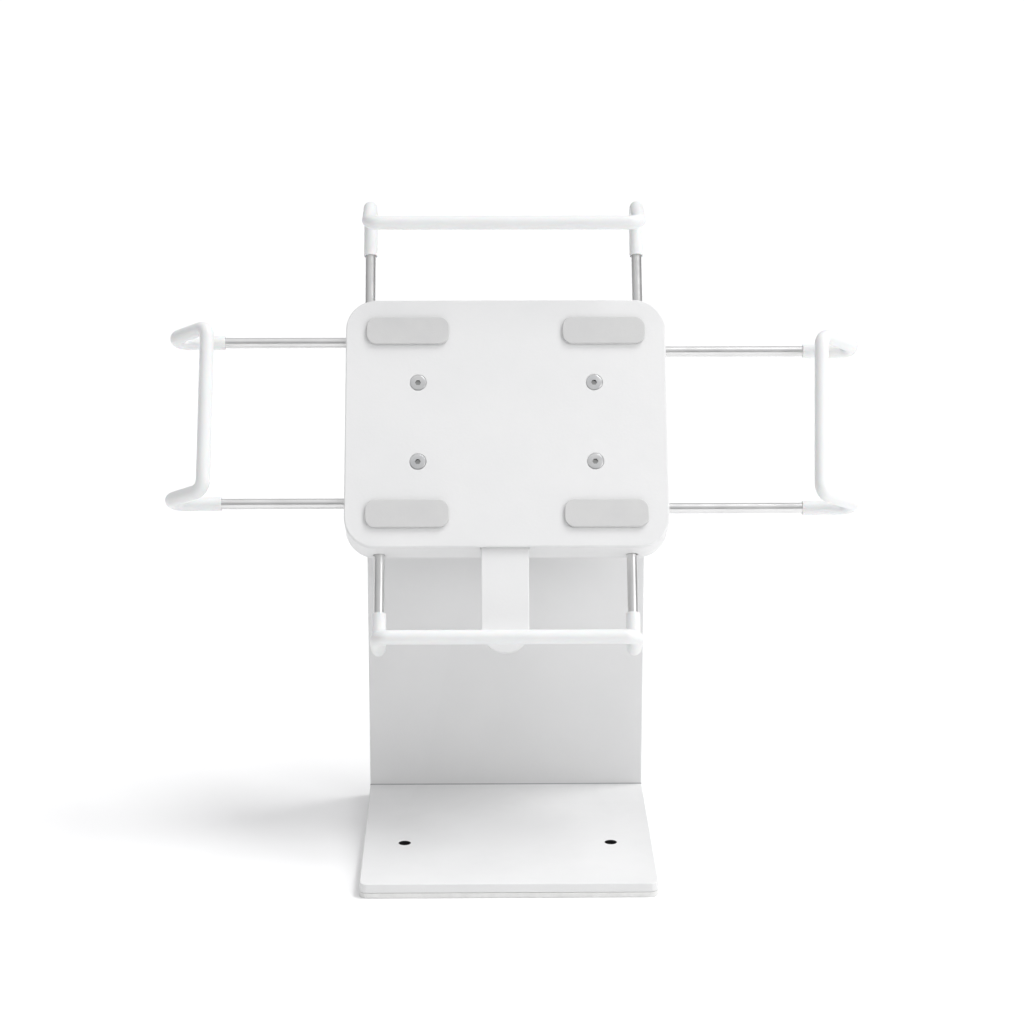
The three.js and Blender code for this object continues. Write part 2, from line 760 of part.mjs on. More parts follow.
// the bottom arm is a shelf: its legs go straight back under the tablet, then up behind it
function addBottomArm() {
  const place = (out, y, across) => new THREE.Vector3(across, y, -out);
  const bar = [-bottomBarZ, -bottomBarZ];
  const corners = armCorners(place, bar, bottomLegs, uprightRodY, -uprightLegEnd, 0);
  addArm('bottom', corners, shelfBend + shelfSleeveTail, shelfBend);
}

addSideArm('left', leftArm);
addSideArm('right', rightArm);
addTopArm();
addBottomArm();

export default root;
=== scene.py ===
"""Tablet stand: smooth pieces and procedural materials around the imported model. Metres, row frame."""
import json
import math

import bmesh
import bpy
from mathutils import Matrix, Vector
from mathutils.geometry import tessellate_polygon


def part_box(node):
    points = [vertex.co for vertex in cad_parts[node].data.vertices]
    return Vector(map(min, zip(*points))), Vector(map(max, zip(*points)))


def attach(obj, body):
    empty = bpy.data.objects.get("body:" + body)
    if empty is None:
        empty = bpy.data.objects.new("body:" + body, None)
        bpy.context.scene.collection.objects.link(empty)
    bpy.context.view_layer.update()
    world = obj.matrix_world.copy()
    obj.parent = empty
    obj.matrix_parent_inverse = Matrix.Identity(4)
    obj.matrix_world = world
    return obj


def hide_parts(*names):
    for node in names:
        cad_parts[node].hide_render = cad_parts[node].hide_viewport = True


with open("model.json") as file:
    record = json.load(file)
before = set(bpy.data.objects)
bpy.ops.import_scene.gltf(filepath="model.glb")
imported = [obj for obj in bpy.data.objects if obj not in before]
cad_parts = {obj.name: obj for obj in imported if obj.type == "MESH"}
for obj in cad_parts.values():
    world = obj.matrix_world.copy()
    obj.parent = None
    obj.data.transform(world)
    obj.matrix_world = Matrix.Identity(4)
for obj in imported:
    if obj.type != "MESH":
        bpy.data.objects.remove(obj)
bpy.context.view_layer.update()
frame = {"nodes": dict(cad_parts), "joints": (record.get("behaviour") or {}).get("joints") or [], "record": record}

MM = 0.001
ROUND_STEPS = 4  # rings in a rounded plate edge
EASE = 0.2 * MM  # the small chamfer on turned and cut edges
FOUR = range(1, 5)  # the numbers in the names of screws and posts
SMOOTH_ANGLE = math.radians(40)

# ------------------------------------------------------------------ the head's own frame
# X to the right, Y to the back, Z up the tablet's plane, origin on the tilt axis

joints = {joint["name"]: joint for joint in frame["joints"]}
plane_up = Vector(joints["top_arm_slide"]["axis"]).normalized()
tilt_centre = Vector(joints["tilt"]["pos_m"])
plane_back = plane_up.cross(Vector((1, 0, 0)))
HEAD = Matrix((
    (1, 0, 0, tilt_centre.x),
    (0, plane_back.y, plane_up.y, tilt_centre.y),
    (0, plane_back.z, plane_up.z, tilt_centre.z),
    (0, 0, 0, 1),
))
HINGE = Matrix.Translation(tilt_centre)
WORLD = Matrix.Identity(4)


def local_box(node, place):
    """A CAD node's lowest and highest corners in the frame that the matrix place stands for."""
    inverse = place.inverted()
    points = [inverse @ vertex.co for vertex in frame["nodes"][node].data.vertices]
    low = Vector([min(p[axis] for p in points) for axis in range(3)])
    high = Vector([max(p[axis] for p in points) for axis in range(3)])
    return low, high


# ------------------------------------------------------------------ materials


class Shader:
    """A node material with a principled shader, and short ways to add texture nodes."""

    def __init__(self, name, roughness, metallic=0.0):
        self.material = bpy.data.materials.new(name)
        self.material.use_nodes = True
        self.tree = self.material.node_tree
        self.principled = self.tree.nodes["Principled BSDF"]
        self.principled.inputs["Roughness"].default_value = roughness
        self.principled.inputs["Metallic"].default_value = metallic
        self.place = self.add("ShaderNodeTexCoord").outputs["Object"]

    def add(self, kind, **inputs):
        node = self.tree.nodes.new(kind)
        for key, value in inputs.items():
            node.inputs[key.replace("_", " ")].default_value = value
        return node

    def link(self, source, target):
        self.tree.links.new(source, target)

    def noise(self, scale, detail=3.0):
        node = self.add("ShaderNodeTexNoise", Scale=scale, Detail=detail)
        self.link(self.place, node.inputs["Vector"])
        return node.outputs["Fac"]

    def cells(self, scale):
        node = self.add("ShaderNodeTexVoronoi", Scale=scale)
        node.feature = "SMOOTH_F1"
        self.link(self.place, node.inputs["Vector"])
        return node.outputs["Distance"]

    def spread(self, factor, low, high, start=0.35, end=0.65):
        node = self.add("ShaderNodeMapRange")
        for key, value in (("From Min", start), ("From Max", end), ("To Min", low), ("To Max", high)):
            node.inputs[key].default_value = value
        self.link(factor, node.inputs["Value"])
        return node.outputs["Result"]

    def colours(self, factor, first, second):
        """Between two colours, from the first where the factor is 0.3 to the second where it is 0.7."""
        ramp = self.add("ShaderNodeValToRGB")
        for element, position, colour in zip(ramp.color_ramp.elements, (0.3, 0.7), (first, second)):
            element.position = position
            element.color = (*colour, 1)
        self.link(factor, ramp.inputs["Fac"])
        return ramp.outputs["Color"]

    def paint_crease_shade(self, colour, shade):
        """Painted shade in the hollows: where the surface curves inwards, the colour is multiplied by shade."""
        pointy = self.add("ShaderNodeNewGeometry").outputs["Pointiness"]
        crease = self.spread(pointy, 1.0, 0.0, 0.42, 0.5)
        return self.blend(crease, colour, shade, "MULTIPLY")

    def blend(self, factor, colour, second, way="MIX"):
        """The colour mixed with a second one, as far as the factor says."""
        mix = self.add("ShaderNodeMix")
        mix.data_type = "RGBA"
        mix.blend_type = way
        self.link(factor, mix.inputs["Factor"])
        colour_sockets = [socket for socket in mix.inputs if socket.type == "RGBA"]
        self.link(colour, colour_sockets[0])
        colour_sockets[1].default_value = (*second, 1)
        return next(socket for socket in mix.outputs if socket.type == "RGBA")

    def near_upright_axes(self, x, y, radius):
        """1 within radius of the two upright lines at (x, y) and (-x, y), and 0 elsewhere."""
        split = self.add("ShaderNodeSeparateXYZ")
        self.link(self.place, split.inputs["Vector"])
        mirrored = self.add("ShaderNodeMath")
        mirrored.operation = "ABSOLUTE"
        self.link(split.outputs["X"], mirrored.inputs[0])
        return self.near_line(mirrored.outputs["Value"], split.outputs["Y"], x, y, radius)

    def near_line(self, first, second, x, y, radius):
        """1 where the two coordinates are within radius of x and y, fading to 0 just outside."""
        flat = self.add("ShaderNodeCombineXYZ")
        self.link(first, flat.inputs["X"])
        self.link(second, flat.inputs["Y"])
        distance = self.add("ShaderNodeVectorMath")
        distance.operation = "DISTANCE"
        self.link(flat.outputs["Vector"], distance.inputs[0])
        distance.inputs[1].default_value = (x, y, 0)
        return self.spread(distance.outputs["Value"], 1.0, 0.0, radius, radius * 1.05)

    def near_level_line(self, y, z, radius):
        """1 close to the level line along X at (y, z), and 0 away from it."""
        split = self.add("ShaderNodeSeparateXYZ")
        self.link(self.place, split.inputs["Vector"])
        return self.near_line(split.outputs["Y"], split.outputs["Z"], y, z, radius)

    def bump(self, height, distance, strength=1.0, under=None):
        node = self.add("ShaderNodeBump", Strength=strength, Distance=distance)
        self.link(height, node.inputs["Height"])
        if under is not None:
            self.link(under, node.inputs["Normal"])
        return node.outputs["Normal"]

    def finish(self, colour=None, roughness=None, normal=None, **constants):
        for socket, source in (("Base Color", colour), ("Roughness", roughness), ("Normal", normal)):
            if source is not None:
                self.link(source, self.principled.inputs[socket])
        for key, value in constants.items():
            self.principled.inputs[key.replace("_", " ")].default_value = value
        return self.material


def powder_coat(name, hole_shadow=None, bend_shade=None):
    """White powder coat: a fine orange peel over the steel, with a slight cloudiness in the gloss and painted
    shade in its hollows.
    The first option gives the x, y and radius of two upright holes whose walls are painted near black as painted
    shadow, and the second the y, z and radius of the inside bend, where a thin line of painted shade darkens the
    corner."""
    shader = Shader(name, 0.4)
    cloud = shader.noise(35, 4)
    colour = shader.colours(cloud, (0.765, 0.767, 0.768), (0.79, 0.79, 0.79))
    # painted shade: the coat colour is darkened in the hollows
    colour = shader.paint_crease_shade(colour, (0.86, 0.86, 0.85))
    # painted shadow: the walls of the two desk holes are coloured near black, standing in for the shade inside
    # them
    if hole_shadow:
        colour = shader.blend(shader.near_upright_axes(*hole_shadow), colour, (0.012, 0.012, 0.013))
    # painted shade: a thin dark line along the inside bend, where shade falls in the corner
    if bend_shade:
        colour = shader.blend(shader.near_level_line(*bend_shade), colour, (0.42, 0.42, 0.43))
    peel = shader.bump(shader.noise(900, 2), 0.00006, 0.5)
    grain = shader.bump(shader.noise(3800, 2), 0.00002, 0.35, under=peel)
    return shader.finish(colour, shader.spread(shader.noise(160, 3), 0.34, 0.48), grain,
                         Specular_IOR_Level=0.5)


def vinyl():
    """Dipped vinyl sleeve: soft white, smoother than the powder coat, with faint flow unevenness."""
    shader = Shader("white_vinyl", 0.42)
    colour = shader.colours(shader.noise(60, 3), (0.80, 0.80, 0.80), (0.825, 0.825, 0.825))
    # painted shade: the vinyl colour is darkened in the hollows
    colour = shader.paint_crease_shade(colour, (0.85, 0.85, 0.84))
    flow = shader.bump(shader.noise(240, 2), 0.00012, 0.35)
    skin = shader.bump(shader.noise(5200, 1), 0.00001, 0.3, under=flow)
    return shader.finish(colour, shader.spread(shader.noise(300, 2), 0.36, 0.5), skin,
                         Subsurface_Weight=0.12, Subsurface_Scale=0.0012)


def rod_steel():
    """Satin zinc-plated wire: even and bright, with a very fine grain and a slight change of gloss."""
    shader = Shader("rod_steel", 0.32, 1.0)
    colour = shader.colours(shader.noise(60, 3), (0.70, 0.70, 0.695), (0.77, 0.77, 0.765))
    grain = shader.bump(shader.noise(2400, 2), 0.000004, 0.4)
    return shader.finish(colour, shader.spread(shader.noise(220, 3), 0.28, 0.36), grain)


def zinc_steel():
    """Zinc-plated fixings: faintly cloudy, with painted shade darkening the recesses."""
    shader = Shader("zinc_steel", 0.34, 1.0)
    colour = shader.colours(shader.noise(180, 3), (0.62, 0.63, 0.64), (0.70, 0.70, 0.695))
    # painted shade: the colour is darkened strongly in the recesses
    colour = shader.paint_crease_shade(colour, (0.55, 0.55, 0.54))
    grain = shader.bump(shader.noise(2600, 2), 0.000006, 0.4)
    return shader.finish(colour, shader.spread(shader.noise(350, 3), 0.28, 0.42), grain)


def mat_foam():
    """Thin anti-slip mat: close white foam with open pores."""
    shader = Shader("base_mat", 0.85)
    colour = shader.colours(shader.noise(300, 4), (0.76, 0.76, 0.75), (0.82, 0.82, 0.81))
    pores = shader.bump(shader.cells(2200), 0.0001, 0.7)
    return shader.finish(colour, shader.spread(shader.noise(900, 2), 0.75, 0.92), pores)


def pad_rubber():
    """Light grey silicone pads with a fine moulded grain."""
    shader = Shader("pad_rubber", 0.7)
    colour = shader.colours(shader.noise(120, 3), (0.585, 0.585, 0.585), (0.61, 0.61, 0.605))
    grain = shader.bump(shader.cells(1900), 0.00005, 0.5)
    return shader.finish(colour, shader.spread(shader.noise(800, 3), 0.6, 0.8), grain)


def nylon():
    """Natural nylon: milky, with faint moulding swirls."""
    shader = Shader("nylon", 0.5)
    colour = shader.colours(shader.noise(90, 5), (0.70, 0.69, 0.64), (0.77, 0.76, 0.72))
    grain = shader.bump(shader.noise(1500, 2), 0.00003, 0.4)
    return shader.finish(colour, shader.spread(shader.noise(400, 2), 0.42, 0.58), grain,
                         Subsurface_Weight=0.2, Subsurface_Scale=0.001)


MATERIALS = {
    "white_powder_coat": powder_coat("white_powder_coat"),
    "white_vinyl": vinyl(),
    "rod_steel": rod_steel(),
    "zinc_steel": zinc_steel(),
    "base_mat": mat_foam(),
    "pad_rubber": pad_rubber(),
    "nylon": nylon(),
}
SLOT_OF = {part["node"]: part["material_slot"] for part in frame["record"]["subparts"]}
BODY_OF = {node: body for body, nodes in frame["record"]["behaviour"]["bodies"].items() for node in nodes}

for node_name, node_object in frame["nodes"].items():
    node_object.data.materials.clear()
    node_object.data.materials.append(MATERIALS[SLOT_OF[node_name]])

# ------------------------------------------------------------------ mesh building


def add_rings(bm, rings, closed_loop=False):
    """Quads between rings of the same number of points; the vertices of each ring are returned."""
    made = [[bm.verts.new(point) for point in ring] for ring in rings]
    pairs = list(zip(made, made[1:]))
    if closed_loop:
        pairs.append((made[-1], made[0]))
    for first, second in pairs:
        count = len(first)
        for i in range(count):
            j = (i + 1) % count
            bm.faces.new((first[i], first[j], second[j], second[i]))
    return made


def add_cap(bm, loops):
    """A flat face bounded by the first loop of vertices, with the other loops as holes in it."""
    vertices = [vertex for loop in loops for vertex in loop]
    for triangle in tessellate_polygon([[vertex.co for vertex in loop] for loop in loops]):
        bm.faces.new([vertices[index] for index in triangle])


def to_mesh(bm, name):
    bmesh.ops.remove_doubles(bm, verts=bm.verts, dist=1e-7)
    bmesh.ops.recalc_face_normals(bm, faces=bm.faces)
    mesh = bpy.data.meshes.new(name)
    bm.to_mesh(mesh)
    bm.free()
    return mesh


def new_object(mesh, name):
    obj = bpy.data.objects.new(name, mesh)
    bpy.context.collection.objects.link(obj)
    return obj


def offset_loop(points, inset):
    """The loop of 2D points moved inwards by inset, for a loop that runs anticlockwise."""
    moved = []
    count = len(points)
    for i, point in enumerate(points):
        before = (point - points[i - 1]).normalized()
        after = (points[(i + 1) % count] - point).normalized()
        normal = Vector((-(before.y + after.y), before.x + after.x))
        moved.append(point + normal.normalized() * inset / max(normal.length / 2, 0.3))
    return moved


def arc(cx, cy, radius, start, end, steps):
    """Points on an arc, its angles in degrees."""
    return [
        Vector((cx + radius * math.cos(math.radians(start + (end - start) * i / steps)),
                cy + radius * math.sin(math.radians(start + (end - start) * i / steps))))
        for i in range(steps + 1)
    ]


def rounded_rectangle(x0, x1, y0, y1, radius, steps=12):
    corners = ((x1 - radius, y0 + radius, -90), (x1 - radius, y1 - radius, 0),
               (x0 + radius, y1 - radius, 90), (x0 + radius, y0 + radius, 180))
    return [p for cx, cy, start in corners for p in arc(cx, cy, radius, start, start + 90, steps)]


def circle(cx, cy, radius, steps=40):
    return arc(cx, cy, radius, 0, 360, steps)[:-1]


def rounded_wall(loop, thickness, edge, way=1):
    """Rings up the side of a plate with rounded edges; way is -1 up the side of a hole in it."""
    levels = []
    for i in range(ROUND_STEPS + 1):
        angle = math.pi / 2 * i / ROUND_STEPS
        levels.append((edge * (1 - math.sin(angle)), edge * (1 - math.cos(angle))))
    levels += [(inset, thickness - height) for inset, height in reversed(levels)]
    return [[(p.x, p.y, height) for p in offset_loop(loop, way * inset)] for inset, height in levels]


def turned_wall(x, y, profile, steps=40):
    """Rings up the side of a round hole from (radius, height) pairs."""
    return [[(p.x, p.y, height) for p in circle(x, y, radius, steps)] for radius, height in profile]


def plate(walls):
    """A plate in X and Y from the rings up its outer wall and up the wall of each hole."""
    bm = bmesh.new()
    ends = []
    for rings in walls:
        made = add_rings(bm, rings)
        ends.append((made[0], made[-1]))
    add_cap(bm, [first for first, _ in ends])
    add_cap(bm, [last for _, last in ends])
    return bm


def transform(bm, matrix):
    bmesh.ops.transform(bm, matrix=matrix, verts=bm.verts)
    return bm


def stand_up(y):
    """A plate drawn in X and Y becomes one drawn in X and Z, its face at depth y and its body behind."""
    return Matrix(((1, 0, 0, 0), (0, 0, 1, y), (0, 1, 0, 0), (0, 0, 0, 1)))


def side_on(x):
    """A plate drawn in X and Y becomes one drawn in Y and Z, its face at x and its body to the right."""
    return Matrix(((0, 0, 1, x), (1, 0, 0, 0), (0, 1, 0, 0), (0, 0, 0, 1)))


def turned_rings(profile, segments):
    """A ring of points round Y for each (radius, y) pair."""
    turns = [2 * math.pi * i / segments for i in range(segments)]
    return [[(radius * math.cos(turn), y, radius * math.sin(turn)) for turn in turns]
            for radius, y in profile]


def lathe(profile, segments=48):
    """A solid turned about Y from (radius, y) points that start and end on the axis."""
    bm = bmesh.new()
    made = add_rings(bm, turned_rings(profile[1:-1], segments))
    for ring, (_, y) in ((made[0], profile[0]), (made[-1], profile[-1])):
        tip = bm.verts.new((0, y, 0))
        for i in range(segments):
            bm.faces.new((ring[i], ring[(i + 1) % segments], tip))
    return bm


def turned_ring(profile, segments=48):
    """A ring turned about Y from a closed loop of (radius, y) points."""
    bm = bmesh.new()
    add_rings(bm, turned_rings(profile, segments), closed_loop=True)
    return bm


def box_solid(low, high):
    bm = bmesh.new()
    bmesh.ops.create_cube(bm, size=1)
    middle = (Vector(low) + Vector(high)) / 2
    size = Vector(high) - Vector(low)
    return transform(bm, Matrix.Translation(middle) @ Matrix.Diagonal((*size, 1)))


def cylinder(axis, radius, low, high, a, b):
    """A cylinder along X or Z (axis 0 or 2) between low and high, centred on (a, b) in the other two axes."""
    bm = lathe([(0, low), (radius, low), (radius, high), (0, high)], 40)
    turns = {
        0: Matrix(((0, 1, 0, 0), (1, 0, 0, a), (0, 0, 1, b), (0, 0, 0, 1))),
        2: Matrix(((1, 0, 0, a), (0, 0, 1, b), (0, 1, 0, 0), (0, 0, 0, 1))),
    }
    return transform(bm, turns[axis])


def combine(base, others, operation):
    """Joins solids to a base solid, or cuts them from it, and returns the new solid."""
    target = new_object(to_mesh(base, "work"), "work")
    tools = []
    for index, other in enumerate(others):
        tool = new_object(to_mesh(other, f"tool_{index}"), f"tool_{index}")
        modifier = target.modifiers.new(f"cut_{index}", "BOOLEAN")
        modifier.object = tool
        modifier.operation = operation
        modifier.solver = "EXACT"
        tools.append(tool)
    depsgraph = bpy.context.evaluated_depsgraph_get()
    result = bmesh.new()
    result.from_mesh(bpy.data.meshes.new_from_object(target.evaluated_get(depsgraph)))
    for obj in [target] + tools:
        bpy.data.objects.remove(obj)
    return result


def add_piece(name, bm, place, node, material=None):
    """A finished piece in place of a CAD node: on its body, in its material, with smooth shading.
    place is the matrix of the frame that the piece was drawn in."""
    mesh = to_mesh(transform(bm, place), name)
    mesh.materials.append(material or MATERIALS[SLOT_OF[node]])
    mesh.shade_smooth()
    mesh.set_sharp_from_angle(angle=SMOOTH_ANGLE)
    piece = new_object(mesh, name)
    weighted = piece.modifiers.new("flat_faces_stay_flat", "WEIGHTED_NORMAL")
    weighted.keep_sharp = True
    weighted.weight = 100
    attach(piece, BODY_OF[node])
    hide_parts(node)


def middle_of(node, place):
    """The node's middle in X and Z as a matrix on top of place, for pieces turned about Y there."""
    low, high = local_box(node, place)
    centre = (low + high) / 2
    return place @ Matrix.Translation((centre.x, 0, centre.z))


# ------------------------------------------------------------------ stand bracket and mat

SHEET = 3.5 * MM
INSIDE_BEND = 0.3 * MM
# the width of the painted shade line along the inside bend
BEND_SHADE_RADIUS = 0.34 * MM
BEND_CUTS = 10
FOOT_CORNER = 3 * MM
UPRIGHT_CORNER = 14 * MM
SHEET_EDGE = 0.45 * MM
HOLE_EDGE = 0.25 * MM
DESK_HOLE_X = 39.35 * MM
DESK_HOLE_RADIUS = 2.2 * MM
DESK_HOLE_FROM_UPRIGHT = 65.7 * MM
DESK_HOLE_SHADOW_REACH = 0.1 * MM  # how far round the hole the painted shadow on its wall reaches
MAT_HOLE_EXTRA = 0.4 * MM
YOKE_SCREW_CLEARANCE_HOLE = 2.4 * MM

bracket_low, bracket_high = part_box("stand_bracket")
mat_low, mat_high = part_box("base_mat")
foot_top = bracket_low[2] + SHEET
upright_front = bracket_high[1] - SHEET
desk_hole_y = upright_front - DESK_HOLE_FROM_UPRIGHT


def desk_holes(radius):
    return [circle(side * DESK_HOLE_X, desk_hole_y, radius) for side in (-1, 1)]


def stand_bracket():
    """The sheet is cut flat, foot towards -Y and upright towards +Y, then bent up round the bend."""
    bend_start = upright_front - INSIDE_BEND
    bend_length = math.pi / 2 * INSIDE_BEND
    flat_top = bend_start + bend_length + bracket_high[2] - foot_top - INSIDE_BEND
    x = bracket_high[0]
    front = bracket_low[1]
    outline = (
        arc(-x + FOOT_CORNER, front + FOOT_CORNER, FOOT_CORNER, 180, 270, 10)
        + arc(x - FOOT_CORNER, front + FOOT_CORNER, FOOT_CORNER, 270, 360, 10)
        + arc(x - UPRIGHT_CORNER, flat_top - UPRIGHT_CORNER, UPRIGHT_CORNER, 0, 90, 24)
        + arc(-x + UPRIGHT_CORNER, flat_top - UPRIGHT_CORNER, UPRIGHT_CORNER, 90, 180, 24)
    )
    holes = desk_holes(DESK_HOLE_RADIUS)
    for index in FOUR:
        low, high = local_box(f"yoke_screw_{index}", WORLD)
        height = (low.z + high.z) / 2 - foot_top - INSIDE_BEND + bend_start + bend_length
        holes.append(circle((low.x + high.x) / 2, height, YOKE_SCREW_CLEARANCE_HOLE, 24))
    walls = [rounded_wall(outline, SHEET, SHEET_EDGE)]
    walls += [rounded_wall(hole, SHEET, HOLE_EDGE, -1) for hole in holes]
    bm = plate(walls)
    for i in range(BEND_CUTS + 1):
        y = bend_start + bend_length * i / BEND_CUTS
        everything = list(bm.verts) + list(bm.edges) + list(bm.faces)
        bmesh.ops.bisect_plane(bm, geom=everything, plane_co=(0, y, 0), plane_no=(0, 1, 0))
    for vertex in bm.verts:
        along = vertex.co.y - bend_start
        depth = SHEET - vertex.co.z
        angle = min(max(along / INSIDE_BEND, 0), math.pi / 2)
        past = max(along - bend_length, 0)
        radius = INSIDE_BEND + depth
        if along > 0:
            vertex.co.y = bend_start + radius * math.sin(angle)
            vertex.co.z = foot_top + INSIDE_BEND - radius * math.cos(angle) + past
        else:
            vertex.co.z += bracket_low[2]
    # the sheet's coat carries a painted shadow in the desk holes and a painted shade line along the inside bend
    coat = powder_coat("white_powder_coat_hole_and_bend_shade",
                       (DESK_HOLE_X, desk_hole_y, DESK_HOLE_RADIUS + DESK_HOLE_SHADOW_REACH),
                       (upright_front, foot_top, BEND_SHADE_RADIUS))
    add_piece("stand_bracket_sheet", bm, WORLD, "stand_bracket", coat)


def base_mat():
    outline = (
        arc(mat_low[0] + FOOT_CORNER, mat_low[1] + FOOT_CORNER, FOOT_CORNER, 180, 270, 10)
        + arc(mat_high[0] - FOOT_CORNER, mat_low[1] + FOOT_CORNER, FOOT_CORNER, 270, 360, 10)
        + [Vector((mat_high[0], mat_high[1])), Vector((mat_low[0], mat_high[1]))]
    )
    thickness = mat_high[2] - mat_low[2]
    holes = desk_holes(DESK_HOLE_RADIUS + MAT_HOLE_EXTRA)
    walls = [rounded_wall(outline, thickness, HOLE_EDGE)]
    walls += [rounded_wall(hole, thickness, HOLE_EDGE, -1) for hole in holes]
    bm = plate(walls)
    add_piece("base_mat_sheet", bm, Matrix.Translation((0, 0, mat_low[2])), "base_mat")


stand_bracket()
base_mat()

# ------------------------------------------------------------------ wire arms

ROD_RADIUS = 2 * MM
SLEEVE_RADIUS = 2.7 * MM
SLEEVE_BORE = 2.2 * MM
ROD_CHAMFER = 0.35 * MM
LIP_STEPS = 6
SIDE_HOOK_REACH = 13 * MM
TOP_HOOK_REACH = 13.6 * MM
TIP_BEND = 4.5 * MM
CORNER_BEND = 4.3 * MM
SHELF_BEND = 5 * MM
RIGHT_BAR_LEAN = 2.5 * MM
TUBE_SIDES = 32
BEND_STEPS = 18


def bent_line(corners, bends):
    """Points along a bent rod's centre line: straight runs joined by round bends."""
    line = [corners[0].copy()]
    for i in range(1, len(corners) - 1):
        into = (corners[i] - corners[i - 1]).normalized()
        out = (corners[i + 1] - corners[i]).normalized()
        turn = into.angle(out)
        axis = into.cross(out).normalized()
        radius = bends[i - 1]
        start = corners[i] - into * radius * math.tan(turn / 2)
        centre = start + axis.cross(into) * radius
        for step in range(BEND_STEPS + 1):
            line.append(centre + Matrix.Rotation(turn * step / BEND_STEPS, 3, axis) @ (start - centre))
    line.append(corners[-1].copy())
    return line


def sections(line):
    """At each point of the line, two directions square to it that don't twist along it."""
    found = []
    across = None
    for i, point in enumerate(line):
        before = (point - line[i - 1]).normalized() if i > 0 else Vector()
        after = (line[i + 1] - point).normalized() if i < len(line) - 1 else Vector()
        along = (before + after).normalized()
        if across is None:
            across = along.orthogonal().normalized()
        across = (across - along * across.dot(along)).normalized()
        found.append((point, across, along.cross(across), along))
    return found


def ring_at(section, radius, shift=0.0):
    point, first, second, along = section
    ring = []
    for i in range(TUBE_SIDES):
        angle = 2 * math.pi * i / TUBE_SIDES
        spoke = first * math.cos(angle) + second * math.sin(angle)
        ring.append(point + along * shift + spoke * radius)
    return ring


def solid_rod(line, radius, chamfer):
    parts = sections(line)
    bm = bmesh.new()
    rings = [ring_at(parts[0], radius - chamfer), ring_at(parts[0], radius, chamfer)]
    rings += [ring_at(part, radius) for part in parts[1:-1]]
    rings += [ring_at(parts[-1], radius, -chamfer), ring_at(parts[-1], radius - chamfer)]
    made = add_rings(bm, rings)
    add_cap(bm, [made[0]])
    add_cap(bm, [made[-1]])
    return bm


def sleeve(line, radius, bore):
    """A tube over the rod with rounded lips at both ends."""
    parts = sections(line)
    lip = (radius - bore) / 2
    middle = (radius + bore) / 2
    rings = []
    for end, way in ((0, 1), (-1, -1)):
        turned = []
        for i in range(LIP_STEPS + 1):
            angle = math.pi * i / LIP_STEPS
            turned.append(ring_at(parts[end], middle - way * lip * math.cos(angle),
                                  way * lip * (1 - math.sin(angle))))
        rings.append(turned)
    outer = [ring_at(part, radius) for part in parts[1:-1]]
    inner = [ring_at(part, bore) for part in reversed(parts[1:-1])]
    bm = bmesh.new()
    add_rings(bm, rings[0] + outer + rings[1] + inner, closed_loop=True)
    return bm


def hook_apex(depth, reach):
    """How far out from the bar a hook's two runs would meet, if the bend at its tip were sharp. The tip's
    outermost point is reach from the bar."""
    along = reach - TIP_BEND
    down = depth - TIP_BEND
    slant = math.atan2(down, along) - math.asin(TIP_BEND / math.hypot(along, down))
    return depth / math.tan(slant)


def arm(name, out_axis, way, reach, bend, lean=0.0):
    """An arm from its CAD boxes: it slides along out_axis, outwards in the direction way. Its bar lies
    lean further out at the high end than at the low end."""
    across_axis = 2 - out_axis
    sleeve_low, sleeve_high = local_box(f"{name}_arm_sleeve", HEAD)
    rod_low, rod_high = local_box(f"{name}_arm_rod", HEAD)
    bar_y = sleeve_low.y + SLEEVE_RADIUS
    leg_y = sleeve_high.y - SLEEVE_RADIUS
    far = max(way * sleeve_low[out_axis], way * sleeve_high[out_axis]) - SLEEVE_RADIUS
    near = min(way * sleeve_low[out_axis], way * sleeve_high[out_axis])
    end = min(way * rod_low[out_axis], way * rod_high[out_axis])
    bars = (far - reach - lean, far - reach)
    apex = hook_apex(leg_y - bar_y, reach) if reach else 0
    legs = (sleeve_low[across_axis] + SLEEVE_RADIUS, sleeve_high[across_axis] - SLEEVE_RADIUS)

    def corner(out, y, across):
        point = Vector((0, y, 0))
        point[out_axis] = way * out
        point[across_axis] = across
        return point

    def corners(low_end, high_end):
        return [corner(low_end, leg_y, legs[0]), corner(bars[0] + apex, leg_y, legs[0]),
                corner(bars[0], bar_y, legs[0]), corner(bars[1], bar_y, legs[1]),
                corner(bars[1] + apex, leg_y, legs[1]), corner(high_end, leg_y, legs[1])]

    bends = (bend, CORNER_BEND, CORNER_BEND, bend)
    wire = solid_rod(bent_line(corners(end, end), bends), ROD_RADIUS, ROD_CHAMFER)
    add_piece(f"{name}_arm_wire", wire, HEAD, f"{name}_arm_rod")
    tube = sleeve(bent_line(corners(near, near + lean), bends), SLEEVE_RADIUS, SLEEVE_BORE)
    add_piece(f"{name}_arm_soft_sleeve", tube, HEAD, f"{name}_arm_sleeve")


arm("left", 0, -1, SIDE_HOOK_REACH, TIP_BEND)
arm("right", 0, 1, SIDE_HOOK_REACH, TIP_BEND, RIGHT_BAR_LEAN)
arm("top", 2, 1, TOP_HOOK_REACH, TIP_BEND)
arm("bottom", 2, -1, 0, SHELF_BEND)

# ------------------------------------------------------------------ screws, pin, nut and washers

# what was turned about Y is laid along X
AXIS_X = Matrix(((0, 1, 0, 0), (1, 0, 0, 0), (0, 0, 1, 0), (0, 0, 0, 1)))
SOCKET_DEPTH = 1.3 * MM
DOME_ANGLE = math.radians(62)
DOME_STEPS = 8
DOME_INSET = 0.62  # of the head's radius, from its side to the flat around the socket
HEAD_SIDE = 0.4  # of the head's height, straight before the dome begins
COUNTERSUNK = {"shank": 1.35 * MM, "cone_end": 1.45 * MM, "socket": 1.15 * MM, "socket_depth": 0.8 * MM}


def hexagon(radius, low, high):
    return lathe([(0, low), (radius, low), (radius, high), (0, high)], 6)


